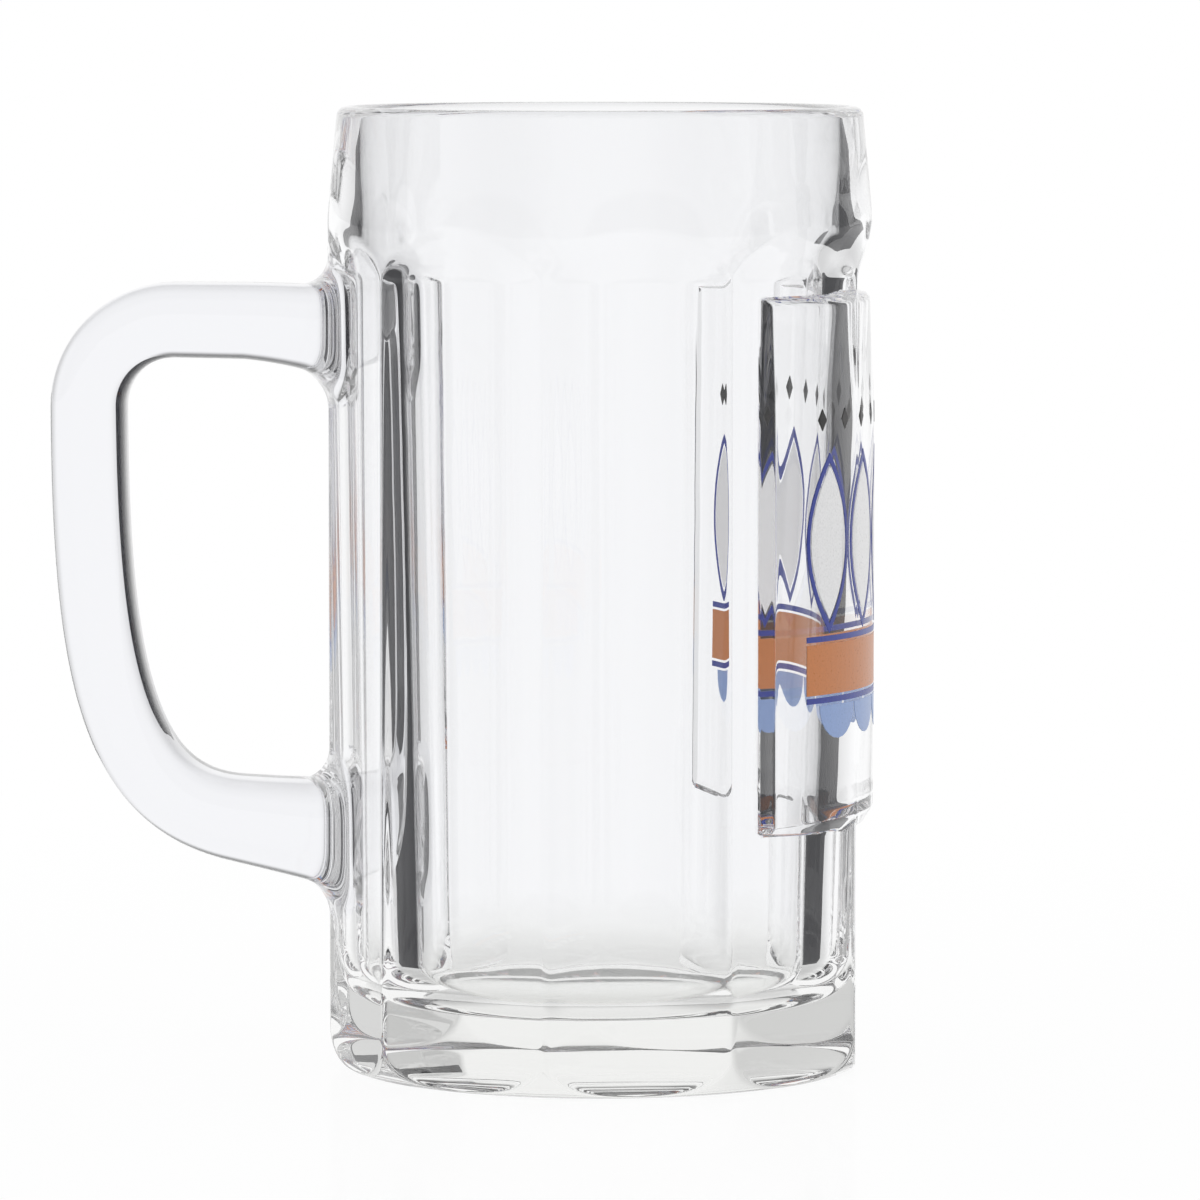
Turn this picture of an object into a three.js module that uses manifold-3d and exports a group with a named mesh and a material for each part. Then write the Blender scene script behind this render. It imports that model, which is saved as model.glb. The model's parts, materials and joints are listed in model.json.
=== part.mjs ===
// Half-litre pressed-glass beer mug: nine-sided body, loop handle and a fired print on a raised label field.
// Millimetres, +Z up. The glass axis is shifted so that the origin is under the middle of the whole outline.
import * as THREE from 'three';
import { mergeVertices } from 'three/addons/utils/BufferGeometryUtils.js';
import Module from 'manifold-3d';

const wasm = await Module();
wasm.setup();

// Glass body
const HEIGHT = 154;
const BODY_RADIUS = 43.6;
const RIM_TAPER = 1.5;
const RIM_BAND_HEIGHT = 18;
const RIM_WALL = 2.5;
const LATHE_STEPS = 72;

// Flat facets round the body
const FACET_COUNT = 9;
const EDGE_LAND = 0.9;
const RUNOUT_DROP = 8.3;
const RUNOUT_SLOPE = 0.375;

// Foot and the hollow under it
const FOOT_ROUND_WIDTH = 3.5;
const FOOT_ROUND_HEIGHT = 6;
const FOOT_RING = 6;
const PUSH_UP = 2.4;
const ARC_STEPS = 6;

// Inside of the mug
const BASE_THICKNESS = 11;
const BORE_DRAFT = 0.033;
const BORE_CORNER = 8;

// Raised label field
const LABEL_PROUD = 0.4;
const LABEL_HALF_ANGLE = THREE.MathUtils.degToRad(53.5);
const LABEL_BOTTOM = 39;
const LABEL_HEADROOM = 3.2;
const LABEL_CHAMFER = 1;
const LABEL_SLOPE_HEIGHT = 4;
const LABEL_SLOPE_DEPTH = 2.4;

// Handle
const HANDLE_STANDOFF = 44.4;
const GRIP_THICKNESS = 12;
const HANDLE_WIDTH = 15;
const SECTION_SQUARENESS = 0.72;
const SECTION_SIDES = 20;
const UPPER_ARM_DROP = 34.2;
const UPPER_BEND_RADIUS = 13.9;
const LOWER_ARM_LEVEL = 39.6;
const LOWER_ARM_LENGTH = 14.4;
const LOWER_ARM_SLOPE = 0.15;
const GRIP_CURVE_DROP = 45;
const LOWER_CURVE_PULL = 19;
const ROOT_FILLET = 4;
const ROOT_SWELL = 1.3;
const ROOT_SWELL_LENGTH = 14;
const STRETCH_STEPS = [10, 8, 16, 10];
const ROOT_CROWDING = 1.6;
const WELD_GAP = 0.3;

// Fired print: thin patches of ink on the label field, stacked upwards from the band
const INK_GAP = 0.15;
const INK_THICKNESS = 0.2;
const INK_SPACING = 0.4;
const INK_STEPS = 180;
const BAND_WIDTH = 62;
const BAND_HEIGHT = 8;
const BAND_LEVEL = 66;
const BAND_LINE = 0.9;
const SCALLOP_COUNT = 5;
const SCALLOP_RADIUS = 5.4;
const LEAF_COUNT = 5;
const LEAF_LENGTH = 24;
const LEAF_WIDTH = 9.6;
const LEAF_OUTLINE = 0.7;
const LEAF_SPACING = 0.8;
const LEAF_TIP = 2;
const DIAMOND_COUNT = 9;
const DIAMOND_WIDTH = 2.2;
const DIAMOND_HEIGHT = 3.4;
const DIAMOND_SPACING = 4.6;
const DIAMOND_RISE = 3.5;

// How far a cutting shape reaches past what it cuts
const MARGIN = 5;

// Derived sizes
const RIM_RADIUS = BODY_RADIUS - RIM_TAPER;
const RIM_BORE_RADIUS = RIM_RADIUS - RIM_WALL;
const FOOT_RADIUS = BODY_RADIUS - FOOT_ROUND_WIDTH;
const FACET_HALF_ANGLE = Math.PI / FACET_COUNT - Math.asin(EDGE_LAND / 2 / BODY_RADIUS);
const FACET_TOP = HEIGHT - RIM_BAND_HEIGHT - RUNOUT_DROP;
const LABEL_RADIUS = BODY_RADIUS + LABEL_PROUD;
const LABEL_TOP = FACET_TOP - LABEL_HEADROOM;
const HANDLE_REACH = BODY_RADIUS + HANDLE_STANDOFF;
const UPPER_ARM_LEVEL = HEIGHT - UPPER_ARM_DROP;
const LOWER_ARM_START = BODY_RADIUS + LOWER_ARM_LENGTH;
const INK_INNER = LABEL_RADIUS + INK_GAP;
const INK_OUTER = INK_INNER + INK_THICKNESS;

const COLOURS = {
  glass: { color: 0xe9eeec, roughness: 0.05, metalness: 0 },
  copper: { color: 0xc8703a, roughness: 0.35, metalness: 0 },
  blue: { color: 0x2a3f9e, roughness: 0.35, metalness: 0 },
  sky: { color: 0x9db4dc, roughness: 0.35, metalness: 0 },
  white: { color: 0xeeeeee, roughness: 0.35, metalness: 0 },
  black: { color: 0x17120f, roughness: 0.35, metalness: 0 },
};
const materials = Object.fromEntries(
  Object.entries(COLOURS).map(([name, look]) => [name, new THREE.MeshStandardMaterial(look)]),
);

// Turn a closed three.js geometry into a solid for joining and cutting
function solid(geometry) {
  const bare = geometry.clone();
  bare.deleteAttribute('normal');
  bare.deleteAttribute('uv');
  const merged = mergeVertices(bare);
  const mesh = new wasm.Mesh({
    numProp: 3,
    vertProperties: new Float32Array(merged.attributes.position.array),
    triVerts: new Uint32Array(merged.index.array),
  });
  return new wasm.Manifold(mesh);
}

function geometryOf(body) {
  const mesh = body.getMesh();
  const geometry = new THREE.BufferGeometry();
  geometry.setAttribute('position', new THREE.BufferAttribute(mesh.vertProperties, mesh.numProp));
  geometry.setIndex(new THREE.BufferAttribute(mesh.triVerts, 1));
  geometry.computeVertexNormals();
  return geometry;
}

// Revolve a profile of [radius, height] points about Z
function revolve(points, steps = LATHE_STEPS) {
  const profile = points.map(([radius, height]) => new THREE.Vector2(radius, height));
  return solid(new THREE.LatheGeometry(profile, steps).rotateX(Math.PI / 2));
}

// Points of an elliptic arc about a centre, from one angle to another
function arc(centre, radii, from, to, steps = ARC_STEPS) {
  const points = [];
  for (let i = 0; i <= steps; i += 1) {
    const angle = from + ((to - from) * i) / steps;
    points.push([centre[0] + radii[0] * Math.cos(angle), centre[1] + radii[1] * Math.sin(angle)]);
  }
  return points;
}

// Turned blank of the body, grown outwards by a clearance
function blank(growth) {
  const radius = BODY_RADIUS + growth;
  const footRound = [FOOT_ROUND_WIDTH, FOOT_ROUND_HEIGHT];
  const rimRound = RIM_WALL / 2;
  return revolve([
    [0, -growth],
    ...arc([FOOT_RADIUS + growth, FOOT_ROUND_HEIGHT - growth], footRound, -Math.PI / 2, 0),
    [radius, HEIGHT - RIM_BAND_HEIGHT],
    ...arc([RIM_RADIUS - rimRound + growth, HEIGHT - rimRound], [rimRound, rimRound], 0, Math.PI / 2),
    [0, HEIGHT],
  ]);
}

// Tool that cuts one flat, with a slope that runs out through the wall above the facet
function facetTool(growth) {
  const inset = BODY_RADIUS * (1 - Math.cos(FACET_HALF_ANGLE));
  const flat = BODY_RADIUS - inset + growth;
  const width = 2 * (BODY_RADIUS * Math.sin(FACET_HALF_ANGLE) + MARGIN);
  const outside = flat + inset + MARGIN;
  const runoutTop = FACET_TOP + (outside - flat) / RUNOUT_SLOPE;
  const outline = [[outside, -MARGIN], [flat, -MARGIN], [flat, FACET_TOP], [outside, runoutTop]];
  const shape = new THREE.Shape(outline.map(([x, z]) => new THREE.Vector2(x, z)));
  const geometry = new THREE.ExtrudeGeometry(shape, { depth: width, bevelEnabled: false });
  return geometry.rotateX(Math.PI / 2).translate(0, width / 2, 0);
}

// Faceted outside of the body without its label field
function facetedBody(growth) {
  let body = blank(growth);
  for (let i = 0; i < FACET_COUNT; i += 1) {
    const tool = facetTool(growth).rotateZ((2 * Math.PI * i) / FACET_COUNT);
    body = body.subtract(solid(tool));
  }
  return body;
}

function labelField() {
  const core = RIM_BORE_RADIUS;
  const ring = revolve([
    [core, LABEL_BOTTOM],
    [LABEL_RADIUS - LABEL_SLOPE_DEPTH, LABEL_BOTTOM],
    [LABEL_RADIUS, LABEL_BOTTOM + LABEL_SLOPE_HEIGHT],
    [LABEL_RADIUS, LABEL_TOP - LABEL_CHAMFER],
    [LABEL_RADIUS - LABEL_CHAMFER, LABEL_TOP],
    [core, LABEL_TOP],
    [core, LABEL_BOTTOM],
  ]);
  const sector = new THREE.Shape();
  sector.moveTo(0, 0);
  sector.absarc(0, 0, LABEL_RADIUS + MARGIN, -LABEL_HALF_ANGLE, LABEL_HALF_ANGLE);
  sector.closePath();
  const wedge = new THREE.ExtrudeGeometry(sector, {
    depth: HEIGHT,
    bevelEnabled: false,
    curveSegments: ARC_STEPS,
  });
  return ring.intersect(solid(wedge));
}

function bore() {
  const cornerHeight = BASE_THICKNESS + BORE_CORNER;
  const cornerRadius = RIM_BORE_RADIUS - BORE_DRAFT * (HEIGHT - cornerHeight);
  const mouth = RIM_WALL / 2;
  return revolve([
    [0, BASE_THICKNESS],
    ...arc([cornerRadius - BORE_CORNER, cornerHeight], [BORE_CORNER, BORE_CORNER], -Math.PI / 2, 0),
    [RIM_BORE_RADIUS, HEIGHT - mouth],
    ...arc([RIM_BORE_RADIUS + mouth, HEIGHT - mouth], [mouth, mouth], Math.PI, Math.PI / 2).slice(1),
    [RIM_BORE_RADIUS + mouth, HEIGHT + MARGIN],
    [0, HEIGHT + MARGIN],
  ]);
}

// Shallow dome under the foot, which leaves a flat ring to stand on
function footHollow() {
  const reach = FOOT_RADIUS - FOOT_RING;
  const dome = arc([0, 0], [reach, PUSH_UP], 0, Math.PI / 2);
  return revolve([[0, -MARGIN], [reach, -MARGIN], ...dome]);
}

function glassBody() {
  return facetedBody(0).add(labelField()).subtract(bore()).subtract(footHollow());
}

// Point of the lower arm's straight centre line, at a distance from its start towards the body
function lowerArmAt(distance) {
  return [distance - LOWER_ARM_START, LOWER_ARM_LEVEL - LOWER_ARM_SLOPE * distance];
}

// Centre line of the handle in the plane of X and Z, from the upper root to the lower root
function handlePath() {
  const gripX = GRIP_THICKNESS / 2 - HANDLE_REACH;
  const bend = [gripX + UPPER_BEND_RADIUS, UPPER_ARM_LEVEL - UPPER_BEND_RADIUS];
  const inside = RIM_BORE_RADIUS - MARGIN;
  const path = new THREE.CurvePath();
  const upper = new THREE.LineCurve(
    new THREE.Vector2(-inside, UPPER_ARM_LEVEL),
    new THREE.Vector2(bend[0], UPPER_ARM_LEVEL),
  );
  const turn = new THREE.EllipseCurve(
    ...bend,
    UPPER_BEND_RADIUS,
    UPPER_BEND_RADIUS,
    Math.PI / 2,
    Math.PI,
  );
  const grip = new THREE.CubicBezierCurve(
    new THREE.Vector2(gripX, bend[1]),
    new THREE.Vector2(gripX, bend[1] - GRIP_CURVE_DROP),
    new THREE.Vector2(...lowerArmAt(-LOWER_CURVE_PULL)),
    new THREE.Vector2(...lowerArmAt(0)),
  );
  const lower = new THREE.LineCurve(
    new THREE.Vector2(...lowerArmAt(0)),
    new THREE.Vector2(...lowerArmAt(LOWER_ARM_START - inside)),
  );
  path.curves.push(upper, turn, grip, lower);
  return path;
}

// How much the handle grows on every side at a distance from the body's wall: a swell that ends in a fillet
function rootGrowth(fromWall) {
  const swell = ROOT_SWELL * Math.max(0, 1 - fromWall / ROOT_SWELL_LENGTH) ** 2;
  const fillet = Math.max(0, ROOT_FILLET - Math.max(0, fromWall));
  return swell + ROOT_FILLET - Math.sqrt(ROOT_FILLET ** 2 - fillet ** 2);
}

// Places along one stretch of the centre line, closer together where it nears the body's wall
function stretchSteps(index) {
  const even = Array.from({ length: STRETCH_STEPS[index] + 1 }, (_, i) => i / STRETCH_STEPS[index]);
  if (index === 0) {
    return even.map((at) => at ** ROOT_CROWDING);
  }
  return index === STRETCH_STEPS.length - 1 ? even.map((at) => 1 - (1 - at) ** ROOT_CROWDING) : even;
}

// Cross sections of the handle: flat-sided ovals square to the centre line
function handleRings() {
  const rings = [];
  handlePath().curves.forEach((curve, index) => {
    stretchSteps(index).slice(index === 0 ? 0 : 1).forEach((at) => {
      const point = curve.getPoint(at);
      const along = curve.getTangent(at);
      const growth = rootGrowth(-point.x - BODY_RADIUS);
      const ring = Array.from({ length: SECTION_SIDES }, (_, side) => {
        const angle = (2 * Math.PI * side) / SECTION_SIDES;
        const out = (GRIP_THICKNESS / 2 + growth) * squareness(Math.cos(angle));
        const across = (HANDLE_WIDTH / 2 + growth) * squareness(Math.sin(angle));
        return new THREE.Vector3(point.x + along.y * out, across, point.y - along.x * out);
      });
      rings.push(ring);
    });
  });
  return rings;
}

// Share of a half width in a superellipse, from the cosine or sine of the ring's angle
function squareness(share) {
  return Math.sign(share) * Math.abs(share) ** SECTION_SQUARENESS;
}

// Closed skin over a row of rings, with a flat cap at each end
function skinOver(rings) {
  const sides = rings[0].length;
  const points = rings.flat();
  const triangles = [];
  for (let ring = 0; ring + 1 < rings.length; ring += 1) {
    for (let side = 0; side < sides; side += 1) {
      const next = (side + 1) % sides;
      const [a, b] = [ring * sides + side, ring * sides + next];
      triangles.push(a, b, b + sides, a, b + sides, a + sides);
    }
  }
  const last = (rings.length - 1) * sides;
  for (let side = 1; side + 1 < sides; side += 1) {
    triangles.push(0, side + 1, side, last, last + side, last + side + 1);
  }
  const geometry = new THREE.BufferGeometry().setFromPoints(points);
  geometry.setIndex(triangles);
  return geometry;
}

function handle() {
  return solid(skinOver(handleRings())).subtract(facetedBody(WELD_GAP));
}

// Lay a flat outline, given as [across, up] points on the unrolled label field, onto its curved face
function inkPatch(outline, hole) {
  const wrap = ([across, up]) => new THREE.Vector2(INK_OUTER * Math.sin(across / LABEL_RADIUS), up);
  const shape = new THREE.Shape(outline.map(wrap));
  if (hole) {
    shape.holes.push(new THREE.Path(hole.map(wrap)));
  }
  const depth = LABEL_RADIUS + MARGIN;
  const prism = new THREE.ExtrudeGeometry(shape, { depth, bevelEnabled: false });
  prism.applyMatrix4(new THREE.Matrix4().set(0, 0, 1, 0, 1, 0, 0, 0, 0, 1, 0, 0, 0, 0, 0, 1));
  const skin = revolve(
    [[INK_INNER, 0], [INK_OUTER, 0], [INK_OUTER, HEIGHT], [INK_INNER, HEIGHT], [INK_INNER, 0]],
    INK_STEPS,
  );
  return skin.intersect(solid(prism));
}

function bar(width, level, height) {
  const half = width / 2;
  const [bottom, top] = [level - height / 2, level + height / 2];
  return [[-half, bottom], [half, bottom], [half, top], [-half, top]];
}

// Half disc that hangs from a level line
function scallop(across, level) {
  return arc([across, level], [SCALLOP_RADIUS, SCALLOP_RADIUS], -Math.PI, 0, 2 * ARC_STEPS);
}

// Upright pointed leaf on its foot, grown all round by a margin
function leaf(across, level, growth) {
  const middle = LEAF_LENGTH / 2;
  const steps = 2 * ARC_STEPS;
  const right = [];
  for (let i = 0; i <= steps; i += 1) {
    const along = (2 * i) / steps - 1;
    const out = (LEAF_WIDTH / 2 + growth) * (1 - along * along);
    right.push([across + out, level + middle + (middle + LEAF_TIP * growth) * along]);
  }
  const left = right.slice(1, -1).reverse().map(([x, y]) => [2 * across - x, y]);
  return [...right, ...left];
}

function diamond(across, level) {
  const [out, up] = [DIAMOND_WIDTH / 2, DIAMOND_HEIGHT / 2];
  return [[across, level - up], [across + out, level], [across, level + up], [across - out, level]];
}

// Evenly spaced places in a row about the middle of the label field
function row(count, pitch) {
  return Array.from({ length: count }, (_, i) => pitch * (i - (count - 1) / 2));
}

const axis = new THREE.Group();
axis.position.x = (HANDLE_REACH - INK_OUTER) / 2;

function addPiece(name, body, material) {
  const mesh = new THREE.Mesh(geometryOf(body), materials[material]);
  mesh.name = name;
  axis.add(mesh);
}

function addPrint() {
  const bandTop = BAND_LEVEL + BAND_HEIGHT / 2 + INK_SPACING;
  const bandBottom = BAND_LEVEL - BAND_HEIGHT / 2 - INK_SPACING;
  addPiece('print_band', inkPatch(bar(BAND_WIDTH, BAND_LEVEL, BAND_HEIGHT)), 'copper');
  addPiece('print_band_line_upper', inkPatch(bar(BAND_WIDTH, bandTop + BAND_LINE / 2, BAND_LINE)), 'blue');
  addPiece('print_band_line_lower', inkPatch(bar(BAND_WIDTH, bandBottom - BAND_LINE / 2, BAND_LINE)), 'blue');

  const scallopLevel = bandBottom - BAND_LINE - INK_SPACING;
  row(SCALLOP_COUNT, 2 * SCALLOP_RADIUS + INK_SPACING).forEach((across, i) => {
    addPiece(`print_scallop_${i + 1}`, inkPatch(scallop(across, scallopLevel)), 'sky');
  });

  const rim = INK_SPACING + LEAF_OUTLINE;
  const leafLevel = bandTop + BAND_LINE + INK_SPACING + LEAF_TIP * rim;
  row(LEAF_COUNT, LEAF_WIDTH + 2 * rim + LEAF_SPACING).forEach((across, i) => {
    const outer = leaf(across, leafLevel, rim);
    const inner = leaf(across, leafLevel, INK_SPACING);
    addPiece(`print_leaf_${i + 1}`, inkPatch(leaf(across, leafLevel, 0)), 'white');
    addPiece(`print_leaf_line_${i + 1}`, inkPatch(outer, inner), 'blue');
  });

  const diamondLevel = leafLevel + LEAF_LENGTH + LEAF_TIP * rim + DIAMOND_RISE + DIAMOND_HEIGHT / 2;
  row(DIAMOND_COUNT, DIAMOND_WIDTH + DIAMOND_SPACING).forEach((across, i) => {
    addPiece(`print_diamond_${i + 1}`, inkPatch(diamond(across, diamondLevel)), 'black');
  });
}

addPiece('glass_body', glassBody(), 'glass');
addPiece('glass_handle', handle(), 'glass');
addPrint();

const mug = new THREE.Group();
mug.add(axis);

export default mug;
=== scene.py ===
"""Half-litre pressed-glass beer mug: its glass, its fired print and a plain white studio.

The file is laid out as an add-on and is run as a script. Everything is in metres, in the frame of the
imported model: +Z is up, the handle points along -X and the label field faces +X.
"""

import json
import math

import bpy
import numpy as np
from bpy.props import FloatProperty, FloatVectorProperty, IntProperty, PointerProperty
from bpy.types import Operator, Panel, PropertyGroup
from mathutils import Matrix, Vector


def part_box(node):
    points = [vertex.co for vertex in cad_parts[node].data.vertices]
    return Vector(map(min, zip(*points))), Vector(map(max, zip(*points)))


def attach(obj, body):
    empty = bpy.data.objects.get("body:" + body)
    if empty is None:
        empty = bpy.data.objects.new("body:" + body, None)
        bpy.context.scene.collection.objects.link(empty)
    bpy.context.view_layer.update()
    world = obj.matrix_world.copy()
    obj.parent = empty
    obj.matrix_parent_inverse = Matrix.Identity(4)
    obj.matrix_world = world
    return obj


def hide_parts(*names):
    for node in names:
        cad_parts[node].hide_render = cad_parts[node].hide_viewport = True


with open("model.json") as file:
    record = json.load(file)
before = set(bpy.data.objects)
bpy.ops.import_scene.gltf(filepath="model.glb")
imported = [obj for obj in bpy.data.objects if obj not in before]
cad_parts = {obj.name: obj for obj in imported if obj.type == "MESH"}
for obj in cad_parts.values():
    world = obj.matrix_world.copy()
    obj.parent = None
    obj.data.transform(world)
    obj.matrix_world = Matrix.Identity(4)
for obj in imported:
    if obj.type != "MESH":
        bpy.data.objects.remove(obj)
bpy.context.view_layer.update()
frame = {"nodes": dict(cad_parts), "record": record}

bl_info = {
    "name": "Glass Beer Mug",
    "version": (1, 0, 0),
    "blender": (4, 5, 0),
    "location": "View3D > Sidebar > Beer Mug",
    "description": "Models a nine-sided glass mug with a loop handle, its fired print and its studio",
    "category": "Add Mesh",
}

MM = 0.001

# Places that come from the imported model
BODY_LOW, BODY_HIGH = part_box("glass_body")
HANDLE_LOW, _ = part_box("glass_handle")
HEIGHT = BODY_HIGH.z
BODY_RADIUS = (BODY_HIGH.y - BODY_LOW.y) / 2
AXIS_X = BODY_LOW.x + BODY_RADIUS
LABEL_RADIUS = BODY_HIGH.x - AXIS_X
HANDLE_REACH = AXIS_X - HANDLE_LOW.x
PRINT_NODES = sorted(name for name in frame["nodes"] if name.startswith("print_"))

# Material slots of the two glass pieces: the glass itself, and the faces where they are fused
GLASS_FACE = 0
FUSED_FACE = 1

# Material slots of a patch of print: the ink's front, and its back in the glass, which has a painted glow
INK_FRONT = 0
INK_GLOWING_BACK = 1

# Steps of faces along each stretch, which only set how fine the meshes are
INSIDE_FLOOR_STEPS = 9
BORE_CORNER_STEPS = 14
BORE_WALL_STEPS = 25
LIP_STEPS = 16
FOOT_STEPS = 24
FOOT_RING_STEPS = 4
HOLLOW_STEPS = 14
BEND_STEPS = 18
GRIP_STEPS = 48
FUSED_STEPS = 9
FILLET_STEPS = 15
ARM_STEPS = 8
SCREEN_STEPS = 24
STUDIO_FLOOR_STEPS = 8

# The body's rows and columns of faces crowd together over a reach about each edge, by a weight
ROW_REACH = 2.2 * MM
ROW_WEIGHT = 6
COLUMN_REACH = 1.3 * MM
COLUMN_WEIGHT = 5
CROWDING_SAMPLES = 20000

# Heights above the top of the flats about which the arches get more rows
ARCH_ROWS = (2 * MM, 5 * MM)

# Distances from the label field's lower end up to which rows follow its curve fully, and at all
FOLLOW_FULLY = 4 * MM
FOLLOW_AT_ALL = 20 * MM

# Where the arches' rounding starts and is full, in run-out softnesses above the top of the flats
ARCH_START = -2
ARCH_FULL = 4

# Rounds in which the place of the wall behind the handle is worked out
WALL_SEARCH_ROUNDS = 12

# Points closer than this are merged, and edges sharper than these angles stay sharp
MERGE_DISTANCE = 0.001 * MM
SHARP_GLASS = math.radians(40)
SHARP_INK = math.radians(30)

# Noise values between which the shared grain's mask rises, and the detail of its two uses
GRAIN_LOW = 0.35
GRAIN_HIGH = 0.65
RIPPLE_DETAIL = 1.0
INK_DETAIL = 3.0

# Parts of a ray's direction from which, and up to which, the room gets darker
CEILING_FALL = (0.35, 0.65)
UNDER_FALL = (-0.3, -0.6)
FRONT_FALL = (0.0, -0.7)
SIDES_FALL = (0.25, 0.75)

# The camera's sensor in millimetres, and in metres the range that it sees and the side of the floor
SENSOR_WIDTH = 36
CLIP_START = 0.01
CLIP_END = 1000
STUDIO_FLOOR_SIDE = 400


def length(name, description, millimetres):
    """A size in metres, written in millimetres."""
    return FloatProperty(
        name=name, description=description, default=millimetres * MM, precision=5,
        subtype="DISTANCE", unit="LENGTH",
    )


def angle(name, description, degrees):
    """An angle in radians, written in degrees."""
    return FloatProperty(
        name=name, description=description, default=math.radians(degrees), subtype="ANGLE", unit="ROTATION",
    )


def number(name, description, value):
    """A plain number, such as a slope or a share."""
    return FloatProperty(name=name, description=description, default=value, precision=4)


def count(name, description, value):
    """A whole number of rows, columns or copies."""
    return IntProperty(name=name, description=description, default=value, min=1)


def colour(name, description, rgb):
    """A linear colour."""
    return FloatVectorProperty(
        name=name, description=description, default=(*rgb, 1.0), size=4, min=0.0, max=1.0, subtype="COLOR",
    )


class GlassBodySettings(PropertyGroup):
    """Sizes of the pressed glass body."""

    facet_count: count("Facets", "Flat sides round the body", 9)
    edge_land: length("Edge land", "Width of the turned strip that is left between two flats", 0.9)
    edge_softness: length("Edge softness", "How far the fire polish rounds the facet edges", 0.25)
    rim_taper: length("Rim taper", "How much the radius shrinks up to the rim", 1.5)
    rim_band: length("Rim band", "Height of the round band under the rim", 18)
    rim_wall: length("Rim wall", "Thickness of the rim", 3.2)
    runout_drop: length("Run-out drop", "How far below the rim band a flat starts to run out", 8.3)
    runout_slope: number("Run-out slope", "Outward slope at the top of a flat", 0.375)
    runout_softness: length("Run-out softness", "Rounding of the arches above the flats", 0.8)
    foot_round_width: length("Foot rounding width", "How far the foot draws in", 3.5)
    foot_round_height: length("Foot rounding height", "Height at which the foot starts to draw in", 6)
    foot_ring: length("Foot ring", "Width of the flat ring that the mug stands on", 6)
    push_up: length("Push-up", "Depth of the hollow under the foot", 2.4)
    base_thickness: length("Base thickness", "Glass between the table and the drink", 11)
    bore_draft: number("Bore draft", "Taper of the inside wall", 0.033)
    bore_corner: length("Bore corner", "Rounding between the inside wall and the floor", 8)
    columns: count("Columns", "Columns of faces round the body", 400)
    wall_rows: count("Wall rows", "Rows of faces on the outside wall", 124)


class LabelFieldSettings(PropertyGroup):
    """Sizes of the raised field that carries the print."""

    half_angle: angle("Half angle", "Half of the angle that the field takes of the body", 52.2)
    bottom: length("Bottom", "Height of the field's lower end", 39.7)
    top: length("Top", "Height of the field's upper end", 124.5)
    corner: length("Corner", "Rounding of the field's corners, seen from outside", 0.8)
    side_bevel: length("Side bevel", "Width of the bevel along the field's sides", 2.1)
    side_slope: number("Side slope", "Fall of the sides' bevel over its width", 0.76)
    top_bevel: length("Top bevel", "Width of the bevel along the field's upper end", 1.0)
    top_slope: number("Top slope", "Fall of the upper end's bevel over its width", 0.9)
    bottom_bevel: length("Bottom bevel", "Width of the bevel in the middle of the field's lower end", 2.5)
    bottom_slope: number("Bottom slope", "Fall of the lower end's bevel over its width", 0.65)
    bottom_rise: length("Bottom rise", "Height that the lower end gains towards the field's sides", 1.1)
    bottom_narrowing: number("Bottom narrowing", "Share of its width that the lower bevel loses there", 0.7)
    bevel_softness: length("Bevel softness", "Rounding of the bevels' edges", 0.3)
    wall_draft: number("Wall draft", "Rise of the field's side wall over its run", 6.0)
    root_softness: length("Root softness", "Rounding where the field meets the flats", 0.5)
    shoulder: length("Shoulder", "Height above which the field leans in a little", 104)
    shoulder_drop: length("Shoulder drop", "How far the field leans in at its upper end", 0.65)


class HandleSettings(PropertyGroup):
    """Sizes of the loop handle."""

    grip_thickness: length("Grip thickness", "Thickness of the handle in its own plane", 12)
    width: length("Width", "Width of the handle across its plane", 15)
    squareness: number("Squareness", "Power that flattens the sides of the oval section", 0.5)
    upper_arm_drop: length("Upper arm drop", "Distance of the upper arm's middle below the rim", 34.2)
    upper_bend: length("Upper bend", "Radius of the bend between the upper arm and the grip", 13.9)
    lower_arm_level: length("Lower arm level", "Height at which the lower arm starts", 39.6)
    lower_arm_length: length("Lower arm length", "Straight length of the lower arm up to the body", 14.4)
    lower_arm_slope: number("Lower arm slope", "Fall of the lower arm towards the body", 0.15)
    grip_curve_drop: length("Grip curve drop", "Pull of the grip's curve below the upper bend", 45)
    lower_curve_pull: length("Lower curve pull", "Pull of the grip's curve before the lower arm", 19)
    root_fillet: length("Root fillet", "Radius of the fillet at each root", 4.8)
    root_follow: length("Root follow", "Length over which the arms take the shape of the wall", 14)
    upper_swell: length("Upper swell", "Growth of the upper arm towards the body", 1.4)
    upper_sag: length("Upper sag", "Fall of the upper arm's middle towards the body", 1.9)
    upper_swell_length: length("Upper swell length", "Length over which the upper arm grows and falls", 18)
    lower_swell: length("Lower swell", "Growth of the lower arm towards the body", 2.5)
    lower_swell_length: length("Lower swell length", "Length over which the lower arm grows", 34)
    weld_depth: length("Weld depth", "How deep the roots are fused into the body", 0.3)
    weld_lift: length("Weld lift", "Height of the fillet's edge above the body", 0.01)
    section_columns: count("Section columns", "Columns of faces round the handle", 72)


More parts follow.
